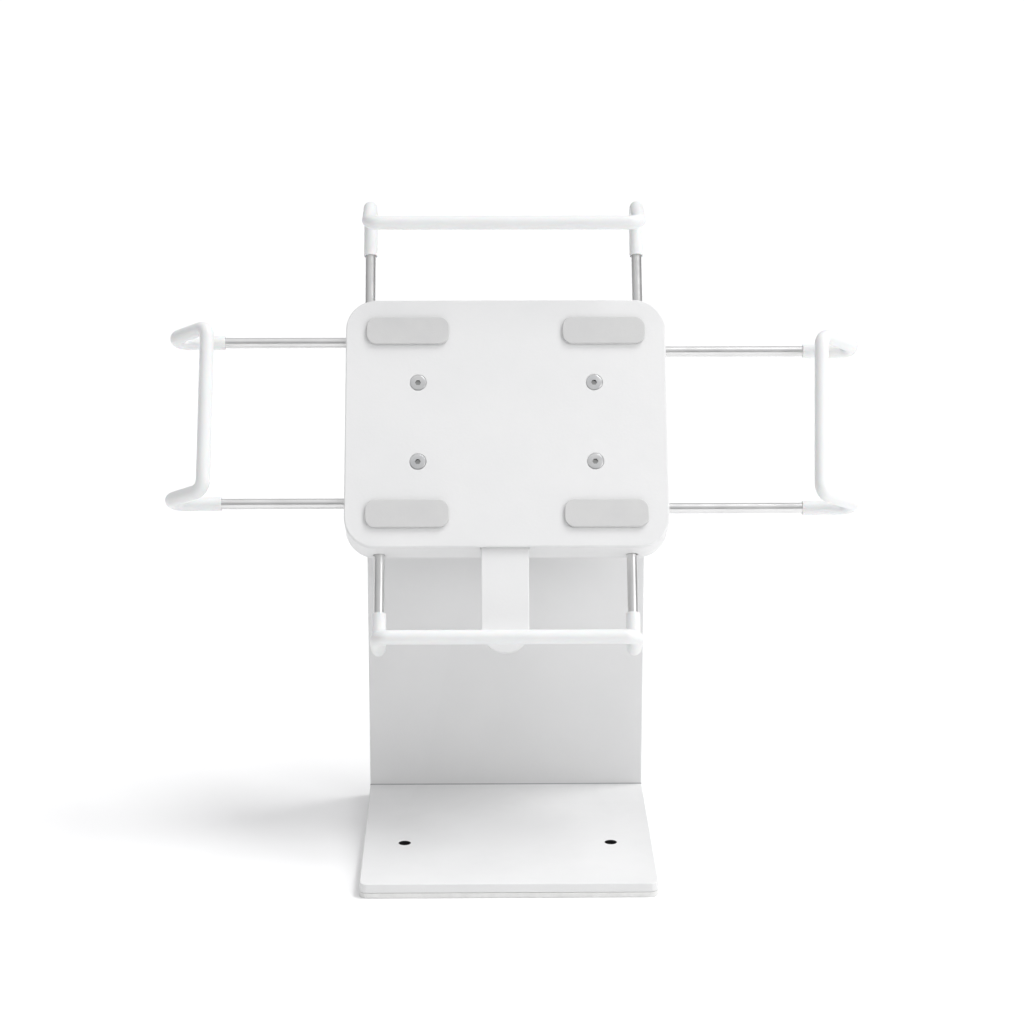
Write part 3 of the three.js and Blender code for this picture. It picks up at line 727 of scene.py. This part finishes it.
def button_screw(node, place, head, shank, socket):
    """A round-headed screw along Y with its head at the back: a domed head and a hexagon socket."""
    low, high = local_box(node, place)
    radius = (high.x - low.x) / 2
    seat = high.y - head
    profile = [(0, low.y), (shank - EASE, low.y), (shank, low.y + EASE), (shank, seat),
               (radius - EASE / 2, seat), (radius, seat + EASE / 2), (radius, seat + HEAD_SIDE * head)]
    for i in range(1, DOME_STEPS + 1):
        angle = DOME_ANGLE * i / DOME_STEPS
        inset = DOME_INSET * radius * (1 - math.cos(angle)) / (1 - math.cos(DOME_ANGLE))
        rise = (1 - HEAD_SIDE) * math.sin(angle) / math.sin(DOME_ANGLE)
        profile.append((radius - inset, seat + head * (HEAD_SIDE + rise)))
    profile.append((0, high.y))
    cut = hexagon(socket, high.y - SOCKET_DEPTH, high.y + SOCKET_DEPTH)
    bm = combine(lathe(profile, 40), [cut], "DIFFERENCE")
    add_piece(f"{node}_turned", bm, middle_of(node, place), node)


def countersunk_screw(node, place):
    """A flat-headed screw along Y with its head at the front, flush in the cover."""
    low, high = local_box(node, place)
    radius = (high.x - low.x) / 2
    shank = COUNTERSUNK["shank"]
    profile = [(0, low.y), (radius - EASE, low.y), (radius, low.y + EASE / 2), (radius, low.y + EASE),
               (shank, low.y + COUNTERSUNK["cone_end"]), (shank, high.y - EASE),
               (shank - EASE, high.y), (0, high.y)]
    cut = hexagon(COUNTERSUNK["socket"], low.y - SOCKET_DEPTH, low.y + COUNTERSUNK["socket_depth"])
    bm = combine(lathe(profile, 40), [cut], "DIFFERENCE")
    add_piece(f"{node}_turned", bm, middle_of(node, place), node)


for index in FOUR:
    button_screw(f"yoke_screw_{index}", HINGE, 2.4 * MM, 2 * MM, 1.7 * MM)
    button_screw(f"bracket_screw_{index}", HEAD, 2.2 * MM, 1.9 * MM, 1.5 * MM)
    countersunk_screw(f"cover_screw_{index}", HEAD)

PIN_RADIUS = 3 * MM
PIN_HEAD = 3.6 * MM
PIN_GAP = 0.3 * MM
THREAD = {"length": 7.5 * MM, "pitch": 0.75 * MM, "turns": 8, "lead": 0.4 * MM, "depth": 0.3 * MM}
SLOT_WIDTH = 1.1 * MM
NUT_ROUNDING = 0.8 * MM


def tilt_pin():
    low, high = local_box("tilt_pin", HINGE)
    radius = (high.z - low.z) / 2
    under = low.x + PIN_HEAD - PIN_GAP
    thread_start = high.x - THREAD["length"]
    profile = [(0, low.x), (radius - 0.9 * MM, low.x), (radius - 0.35 * MM, low.x + 0.25 * MM),
               (radius, low.x + 0.8 * MM), (radius, under - EASE), (radius - EASE, under),
               (PIN_RADIUS, under), (PIN_RADIUS, thread_start)]
    for i in range(THREAD["turns"]):
        start = thread_start + THREAD["lead"] + THREAD["pitch"] * i
        profile += [(PIN_RADIUS - THREAD["depth"], start),
                    (PIN_RADIUS - EASE / 10, start + THREAD["pitch"] / 2)]
    profile += [(PIN_RADIUS - 2 * THREAD["depth"], high.x), (0, high.x)]
    bm = transform(lathe(profile), AXIS_X)
    slot = box_solid((low.x - EASE, -SLOT_WIDTH / 2, -radius), (low.x + MM, SLOT_WIDTH / 2, radius))
    add_piece("tilt_pin_turned", combine(bm, [slot], "DIFFERENCE"), HINGE, "tilt_pin")


def tilt_nut():
    low, high = local_box("tilt_nut", HINGE)
    radius = max(high.y - low.y, high.z - low.z) / 2
    face = radius * 0.87
    clear = radius * 1.01
    thread = PIN_RADIUS + EASE / 2
    round_off = lathe([(0, low.x), (face, low.x), (clear, low.x + NUT_ROUNDING),
                       (clear, high.x - NUT_ROUNDING), (face, high.x), (0, high.x)])
    bore = lathe([(0, low.x - MM), (thread, low.x - MM), (thread, high.x + MM), (0, high.x + MM)], 40)
    bm = combine(combine(hexagon(radius, low.x, high.x), [round_off], "INTERSECT"), [bore], "DIFFERENCE")
    add_piece("tilt_nut_faceted", transform(bm, AXIS_X), HINGE, "tilt_nut")


def friction_washer(side):
    node = f"friction_washer_{side}"
    low, high = local_box(node, HINGE)
    outer = (high.z - low.z) / 2
    inner = PIN_RADIUS + PIN_GAP
    bm = turned_ring([(inner, low.x), (outer - EASE, low.x), (outer, low.x + EASE),
                      (outer, high.x - EASE), (outer - EASE, high.x), (inner, high.x)])
    add_piece(f"{node}_ring", transform(bm, AXIS_X), HINGE, node)


tilt_pin()
tilt_nut()
friction_washer("left")
friction_washer("right")

# ------------------------------------------------------------------ hinge brackets

EAR_RADIUS = 7.5 * MM
EAR_THICKNESS = 3 * MM
BRACKET_THICKNESS = 3 * MM
BRACKET_EDGE = 0.4 * MM
PIN_BORE = PIN_RADIUS + PIN_GAP
YOKE_FRONT = 2.05 * MM
YOKE_TOP = -14 * MM
YOKE_CORNER = 3 * MM
YOKE_EAR_X = 22 * MM
YOKE_HOLE = 2.5 * MM
TILT_BRACKET_CORNER = 6 * MM
TILT_BRACKET_HOLE = 2.3 * MM
HEAD_EAR_X = 17 * MM
EAR_ROOT = 12 * MM


def ears(loop, inner_x):
    """The same ear at both sides, drawn in Y and Z, with the hole for the pin."""
    made = []
    for x in (-inner_x - EAR_THICKNESS, inner_x):
        walls = [rounded_wall(loop, EAR_THICKNESS, BRACKET_EDGE),
                 rounded_wall(circle(0, 0, PIN_BORE), EAR_THICKNESS, HOLE_EDGE, -1)]
        made.append(transform(plate(walls), side_on(x)))
    return made


def screw_holes(prefix, place, radius, thickness):
    """The walls of the holes for the four screws whose names start with prefix."""
    walls = []
    for index in FOUR:
        low, high = local_box(f"{prefix}_{index}", place)
        hole = circle((low.x + high.x) / 2, (low.z + high.z) / 2, radius, 24)
        walls.append(rounded_wall(hole, thickness, HOLE_EDGE, -1))
    return walls


def bracket_plate(node, place, top, corner, screws, hole, face):
    """The flat part of a bracket as wide as its CAD box, up to top, its front at depth face."""
    low, high = local_box(node, place)
    outline = rounded_rectangle(low.x, high.x, low.z, top, corner)
    walls = [rounded_wall(outline, BRACKET_THICKNESS, BRACKET_EDGE)]
    walls += screw_holes(screws, place, hole, BRACKET_THICKNESS)
    return transform(plate(walls), stand_up(face))


def hinge_yoke():
    low, _ = local_box("hinge_yoke", HINGE)
    web = bracket_plate("hinge_yoke", HINGE, YOKE_TOP, YOKE_CORNER, "yoke_screw", YOKE_HOLE, YOKE_FRONT)
    turn = math.degrees(math.acos(YOKE_FRONT / EAR_RADIUS))
    foot = low.z + YOKE_CORNER
    side = [Vector((YOKE_FRONT, foot)), Vector((YOKE_FRONT + BRACKET_THICKNESS, foot)),
            Vector((EAR_RADIUS, YOKE_TOP))]
    side += arc(0, 0, EAR_RADIUS, 0, 360 - turn, 48)
    add_piece("hinge_yoke_formed", combine(web, ears(side, YOKE_EAR_X), "UNION"), HINGE, "hinge_yoke")


def tilt_bracket():
    low, high = local_box("tilt_bracket", HEAD)
    web = bracket_plate("tilt_bracket", HEAD, high.z, TILT_BRACKET_CORNER, "bracket_screw",
                        TILT_BRACKET_HOLE, low.y)
    root_y = low.y + BRACKET_THICKNESS - MM
    ear = [Vector((root_y, -EAR_ROOT))] + arc(0, 0, EAR_RADIUS, -90, 90, 32) + [Vector((root_y, EAR_ROOT))]
    add_piece("tilt_bracket_formed", combine(web, ears(ear, HEAD_EAR_X), "UNION"), HEAD, "tilt_bracket")


hinge_yoke()
tilt_bracket()

# ------------------------------------------------------------------ head

HEAD_CORNER = 12 * MM
WALL = 1.5 * MM
COVER_EDGE = 0.6 * MM
BORE_RADIUS = 2.35 * MM
SINK = [(3.45 * MM, 0), (3.3 * MM, 0.15 * MM), (3.3 * MM, 0.25 * MM), (1.7 * MM, WALL)]
BACK_PLATE_HOLE = 2.2 * MM
POST_BORE = {"radius": 1.7 * MM, "depth": 9 * MM}
TONGUE_THICKNESS = 1.4 * MM
TONGUE_GAP = 0.3 * MM
LUG = {"half_width": 4 * MM, "thickness": 2 * MM}
BUMP = {"x": 6 * MM, "half_width": 2.4 * MM, "low": -26 * MM, "high": -22.5 * MM, "rise": 0.5 * MM}
SOFT_EDGE = 0.35 * MM
PAD_CORNER = 4 * MM


def head_plate(low, high):
    return rounded_rectangle(low.x, high.x, low.z, high.z, HEAD_CORNER, 20)


def front_cover():
    low, high = local_box("front_cover", HEAD)
    walls = [rounded_wall(head_plate(low, high), high.y - low.y, COVER_EDGE)]
    for index in FOUR:
        screw_low, screw_high = local_box(f"cover_screw_{index}", HEAD)
        centre = (screw_low + screw_high) / 2
        walls.append(turned_wall(centre.x, centre.z, SINK))
    add_piece("front_cover_pressed", transform(plate(walls), stand_up(low.y)), HEAD, "front_cover")


def head_rim():
    """The wall round the head, with eased lips and the holes that the rods and the tongue slide through."""
    low, high = local_box("head_rim", HEAD)
    outer = head_plate(low, high)
    depth = high.y - low.y
    levels = [(WALL, EASE), (WALL - EASE, 0), (EASE, 0), (0, EASE),
              (0, depth - EASE), (EASE, depth), (WALL - EASE, depth), (WALL, depth - EASE)]
    bm = bmesh.new()
    add_rings(bm, [[(p.x, p.y, height) for p in offset_loop(outer, inset)] for inset, height in levels],
              closed_loop=True)
    transform(bm, stand_up(low.y))
    cuts = []
    for name, axis in (("left", 0), ("right", 0), ("top", 2), ("bottom", 2)):
        rod_low, rod_high = local_box(f"{name}_arm_rod", HEAD)
        leg_y = rod_high.y - ROD_RADIUS
        across = 2 - axis
        edge = low[axis] if name in ("left", "bottom") else high[axis]
        for leg in (rod_low[across] + ROD_RADIUS, rod_high[across] - ROD_RADIUS):
            at = (leg_y, leg) if axis == 0 else (leg, leg_y)
            cuts.append(cylinder(axis, BORE_RADIUS, edge - 2 * WALL, edge + 2 * WALL, *at))
    tongue_low, tongue_high = local_box("release_tongue", HEAD)
    cuts.append(box_solid(
        (tongue_low.x - TONGUE_GAP, low.y - MM, low.z - MM),
        (tongue_high.x + TONGUE_GAP, tongue_low.y + TONGUE_THICKNESS + TONGUE_GAP, low.z + WALL + MM)))
    add_piece("head_rim_formed", combine(bm, cuts, "DIFFERENCE"), HEAD, "head_rim")


def back_plate():
    low, high = local_box("back_plate", HEAD)
    thickness = high.y - low.y
    walls = [rounded_wall(head_plate(low, high), thickness, COVER_EDGE)]
    walls += screw_holes("bracket_screw", HEAD, BACK_PLATE_HOLE, thickness)
    add_piece("back_plate_pressed", transform(plate(walls), stand_up(low.y)), HEAD, "back_plate")


def cover_posts():
    """The posts that the cover screws go into, each with a blind bore at the front."""
    bore = POST_BORE["radius"]
    for index in FOUR:
        node = f"cover_post_{index}"
        low, high = local_box(node, HEAD)
        radius = (high.x - low.x) / 2
        bottom = low.y + POST_BORE["depth"]
        profile = [(0, bottom), (bore, bottom), (bore, low.y + EASE), (bore + EASE, low.y),
                   (radius - EASE, low.y), (radius, low.y + EASE), (radius, high.y - EASE),
                   (radius - EASE, high.y), (0, high.y)]
        add_piece(f"{node}_turned", lathe(profile, 40), middle_of(node, HEAD), node)


def release_tongue():
    """The strip with its round end, the lug that meets the spring, and two bumps that press the clamp
    plate. It is drawn on the line X = 0 and then moved to the CAD node's middle."""
    low, high = local_box("release_tongue", HEAD)
    middle = (low.x + high.x) / 2
    half = (high.x - low.x) / 2
    outline = [Vector((half, high.z)), Vector((-half, high.z))] + arc(0, low.z + half, half, 180, 360, 48)
    strip = transform(plate([rounded_wall(outline, TONGUE_THICKNESS, SOFT_EDGE)]), stand_up(low.y))
    back = low.y + TONGUE_THICKNESS
    root_y = back - TONGUE_THICKNESS / 2
    lug_top = high.z - EASE / 20
    extras = [box_solid((-LUG["half_width"], root_y, high.z - LUG["thickness"]),
                        (LUG["half_width"], high.y, lug_top))]
    for x in (-BUMP["x"], BUMP["x"]):
        extras.append(box_solid((x - BUMP["half_width"], root_y, BUMP["low"]),
                                (x + BUMP["half_width"], back + BUMP["rise"], BUMP["high"])))
    bm = combine(strip, extras, "UNION")
    add_piece("release_tongue_strip", bm, HEAD @ Matrix.Translation((middle, 0, 0)), "release_tongue")


def pads():
    for level in ("lower", "upper"):
        for hand in ("left", "right"):
            node = f"{level}_{hand}_pad"
            low, high = local_box(node, HEAD)
            outline = rounded_rectangle(low.x, high.x, low.z, high.z, PAD_CORNER, 14)
            bm = plate([rounded_wall(outline, high.y - low.y, SOFT_EDGE)])
            add_piece(f"{node}_moulded", transform(bm, stand_up(low.y)), HEAD, node)


front_cover()
head_rim()
back_plate()
cover_posts()
release_tongue()
pads()

INNER_NODES = ("upper_rod_guide", "lower_rod_guide", "left_rod_guide", "right_rod_guide", "clamp_plate",
               "spring_stop")
for node_name in INNER_NODES:
    bevel = frame["nodes"][node_name].modifiers.new("eased_edges", "BEVEL")
    bevel.width = EASE
    bevel.segments = 2
    bevel.limit_method = "ANGLE"

# ------------------------------------------------------------------ floor, light and camera

CAMERA_PLACE = Vector((-0.0103, -0.97558, 0.37439))
CAMERA_PITCH = math.radians(13.94)
CAMERA_YAW = math.radians(0.71)
CAMERA_LENS = 94.1
HORIZON_LEVEL = 0.18
DOME_STRENGTH = 0.88
OVERHEAD_STRENGTH = 1.5
OVERHEAD_SPREAD = 26
OVERHEAD_FROM = (0.5, 0.05, 1.0)
SOFTBOX_POWER = 1.9
SOFTBOX_SIZE = 0.45
SOFTBOX_PLACE = (0.62, -0.5, 0.42)
SOFTBOX_AIM = (0, 0.02, 0.1)

scene = bpy.context.scene


def set_camera():
    data = bpy.data.cameras.new("camera")
    data.lens = CAMERA_LENS
    data.sensor_width = 36
    data.clip_end = 100
    camera = bpy.data.objects.new("camera", data)
    camera.location = CAMERA_PLACE
    camera.rotation_euler = (math.pi / 2 - CAMERA_PITCH, 0, -CAMERA_YAW)
    bpy.context.collection.objects.link(camera)
    scene.camera = camera


def set_floor():
    bm = bmesh.new()
    bmesh.ops.create_grid(bm, x_segments=1, y_segments=1, size=12)
    floor = new_object(to_mesh(bm, "floor"), "floor")
    shader = Shader("floor_white", 0.9)
    colour = shader.colours(shader.noise(3, 2), (0.94, 0.94, 0.94), (0.95, 0.95, 0.95))
    floor.data.materials.append(shader.finish(colour, Specular_IOR_Level=0.1))


def set_light():
    """A dome that is dimmer at the horizon, a broad light overhead, and a softbox at the front right."""
    world = bpy.data.worlds.new("studio")
    scene.world = world
    world.use_nodes = True
    tree = world.node_tree
    place = tree.nodes.new("ShaderNodeTexCoord")
    split = tree.nodes.new("ShaderNodeSeparateXYZ")
    tree.links.new(place.outputs["Generated"], split.inputs["Vector"])
    ramp = tree.nodes.new("ShaderNodeValToRGB")
    for element, position, level in zip(ramp.color_ramp.elements, (0.0, 0.9), (HORIZON_LEVEL, 1.0)):
        element.position = position
        element.color = (level, level, level * 1.01, 1)
    tree.links.new(split.outputs["Z"], ramp.inputs["Fac"])
    background = tree.nodes["Background"]
    tree.links.new(ramp.outputs["Color"], background.inputs["Color"])
    background.inputs["Strength"].default_value = DOME_STRENGTH
    sun = bpy.data.lights.new("overhead", "SUN")
    sun.energy = OVERHEAD_STRENGTH
    sun.angle = math.radians(OVERHEAD_SPREAD)
    softbox = bpy.data.lights.new("softbox", "AREA")
    softbox.energy = SOFTBOX_POWER
    softbox.size = SOFTBOX_SIZE
    for light, place, back in ((sun, (0, 0, 1), Vector(OVERHEAD_FROM)),
                               (softbox, SOFTBOX_PLACE, Vector(SOFTBOX_PLACE) - Vector(SOFTBOX_AIM))):
        lamp = bpy.data.objects.new(light.name, light)
        lamp.location = place
        lamp.rotation_euler = back.to_track_quat("Z", "Y").to_euler()
        bpy.context.collection.objects.link(lamp)


set_camera()
set_floor()
set_light()
scene.view_settings.view_transform = "Standard"
